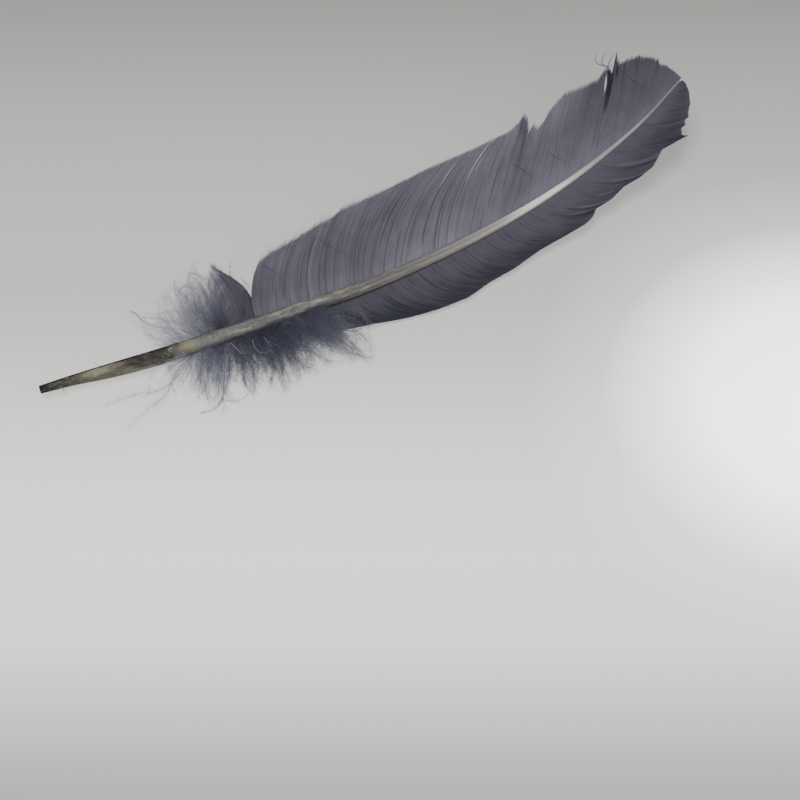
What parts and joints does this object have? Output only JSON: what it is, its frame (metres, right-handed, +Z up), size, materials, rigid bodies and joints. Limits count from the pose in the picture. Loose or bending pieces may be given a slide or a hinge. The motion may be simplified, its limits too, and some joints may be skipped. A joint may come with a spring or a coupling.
{
  "type": "turkey feather",
  "caption": "Gray dyed wing feather lying hollow side up: bare quill, grooved shaft, a wide and a narrow vane with splits, and loose down round the foot of the vanes.",
  "frame": {"origin": "centre of the feather's plan outline, on the surface it lies on", "axes": "+X from the quill's cut end to the feather's tip, +Y towards the wide vane, +Z up, out of the hollow side"},
  "size_m": [0.2676, 0.0641, 0.0274],
  "materials": {
    "vane_gray": "fine combed barbs of dyed keratin, satin along the barbs",
    "shaft_horn": "smooth dyed horn, stained olive and dark gray towards the quill"
  },
  "bodies": {
    "root": {"feather": "vane_gray"}
  },
  "joints": []
}
